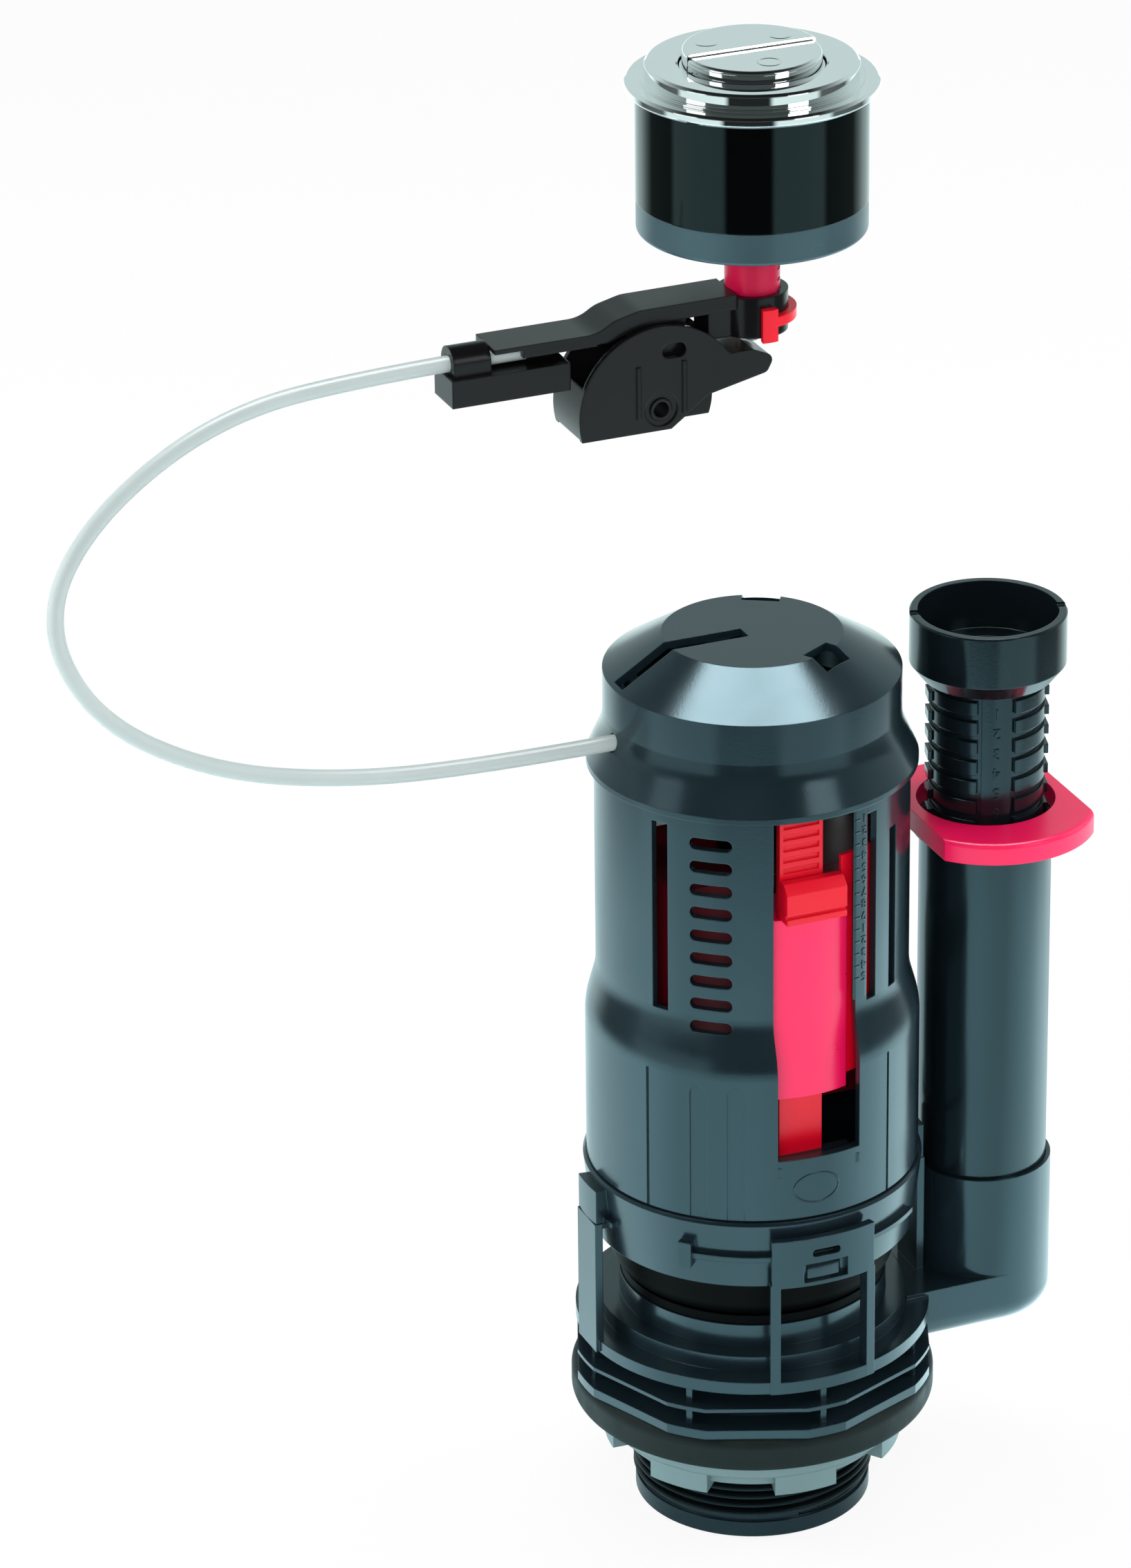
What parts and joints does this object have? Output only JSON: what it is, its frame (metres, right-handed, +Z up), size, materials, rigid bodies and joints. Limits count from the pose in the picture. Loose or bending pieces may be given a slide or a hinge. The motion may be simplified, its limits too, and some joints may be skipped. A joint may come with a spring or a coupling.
{
  "type": "dual flush valve",
  "caption": "Cistern dual flush valve: slotted tower on a bayonet base, telescopic overflow, and a split chrome push button that lifts the plunger by lever and cable.",
  "frame": {"origin": "centre of the threaded tail at its lower end", "axes": "+Z up along the valve's axis, +X towards the overflow, -Y towards the window"},
  "size_m": [0.2579, 0.0904, 0.3779],
  "materials": {
    "dark_plastic": "satin moulded plastic",
    "black_plastic": "satin moulded plastic",
    "gloss_black_plastic": "polished plastic",
    "grey_plastic": "satin moulded plastic",
    "nut_plastic": "satin moulded plastic",
    "pale_plastic": "satin moulded plastic",
    "red_plastic": "moulded plastic",
    "chrome_plate": "bright plated plastic",
    "seal_rubber": "matt rubber",
    "sheath_vinyl": "smooth extruded sheath",
    "steel": "drawn wire"
  },
  "bodies": {
    "housing": {"seat_body": "dark_plastic", "floor_gasket": "seal_rubber", "back_nut": "nut_plastic", "bayonet_collar": "dark_plastic", "tower": "dark_plastic", "cap": "dark_plastic", "stem_guide": "pale_plastic", "crank_pin": "steel", "lower_ferrule": "black_plastic", "float_strip": "red_plastic", "overflow_tube": "dark_plastic", "bezel": "chrome_plate", "full_button_spring": "steel", "half_button_spring": "steel", "button_sleeve": "gloss_black_plastic", "button_lock_ring": "grey_plastic", "guide_tube": "red_plastic", "pivot_pin": "black_plastic", "lever_frame": "black_plastic", "frame_clip": "red_plastic", "cable_clamp": "black_plastic", "cable_sheath": "sheath_vinyl", "upper_ferrule": "black_plastic"},
    "plunger": {"valve_plunger": "dark_plastic", "seal_washer": "seal_rubber", "seal_retainer": "dark_plastic", "lift_float": "red_plastic"},
    "crank": {"lift_crank": "pale_plastic"},
    "lower_pull": {"lower_wire": "steel"},
    "upper_pull": {"upper_wire": "steel"},
    "lever": {"lever": "black_plastic"},
    "rod": {"push_rod": "pale_plastic"},
    "full_button": {"full_flush_button": "chrome_plate"},
    "half_button": {"half_flush_button": "chrome_plate"},
    "half_float": {"half_flush_float": "red_plastic", "float_latch": "red_plastic"},
    "funnel": {"overflow_funnel": "dark_plastic"},
    "clip": {"overflow_clip": "red_plastic"}
  },
  "joints": [
    {"name": "plunger_lift", "type": "slide", "parent": "housing", "child": "plunger", "axis": [0, 0, 1], "range_m": [0, 0.01025]},
    {"name": "crank_turn", "type": "hinge", "parent": "housing", "child": "crank", "pos_m": [-0.0145, 0, 0.203], "axis": [0, -1, 0], "range_deg": [0, 40]},
    {"name": "lower_wire_pull", "type": "slide", "parent": "housing", "child": "lower_pull", "axis": [-1, 0, 0], "range_m": [0, 0.00438]},
    {"name": "upper_wire_pull", "type": "slide", "parent": "housing", "child": "upper_pull", "axis": [1, 0, 0], "range_m": [0, 0.00438]},
    {"name": "lever_turn", "type": "hinge", "parent": "housing", "child": "lever", "pos_m": [-0.0265, 0, 0.2954], "axis": [0, 1, 0], "range_deg": [0, 14.95]},
    {"name": "rod_push", "type": "slide", "parent": "housing", "child": "rod", "axis": [0, 0, -1], "range_m": [0, 0.00545]},
    {"name": "full_flush_press", "type": "slide", "parent": "housing", "child": "full_button", "axis": [0, 0, -1], "range_m": [0, 0.00545], "stiffness_N_per_m": 120, "springref_m": -0.004, "deforming": ["full_button_spring"]},
    {"name": "half_flush_press", "type": "slide", "parent": "housing", "child": "half_button", "axis": [0, 0, -1], "range_m": [0, 0.004], "stiffness_N_per_m": 120, "springref_m": -0.004, "deforming": ["half_button_spring"]},
    {"name": "half_float_height", "type": "slide", "parent": "housing", "child": "half_float", "axis": [0, 0, 1], "range_m": [-0.012, 0.012]},
    {"name": "overflow_height", "type": "slide", "parent": "housing", "child": "funnel", "axis": [0, 0, 1], "range_m": [-0.026, 0]},
    {"name": "clip_release", "type": "slide", "parent": "housing", "child": "clip", "axis": [0, 1, 0], "range_m": [0, 0.0016]}
  ],
  "couplings": [
    {"joint": "crank_turn", "follows": "plunger_lift", "rad_per_m": 68.03},
    {"joint": "lower_wire_pull", "follows": "plunger_lift", "ratio": 0.4266},
    {"joint": "upper_wire_pull", "follows": "plunger_lift", "ratio": 0.4266},
    {"joint": "lever_turn", "follows": "plunger_lift", "rad_per_m": 25.39},
    {"joint": "rod_push", "follows": "plunger_lift", "ratio": 0.531},
    {"joint": "full_flush_press", "follows": "plunger_lift", "ratio": 0.531}
  ]
}
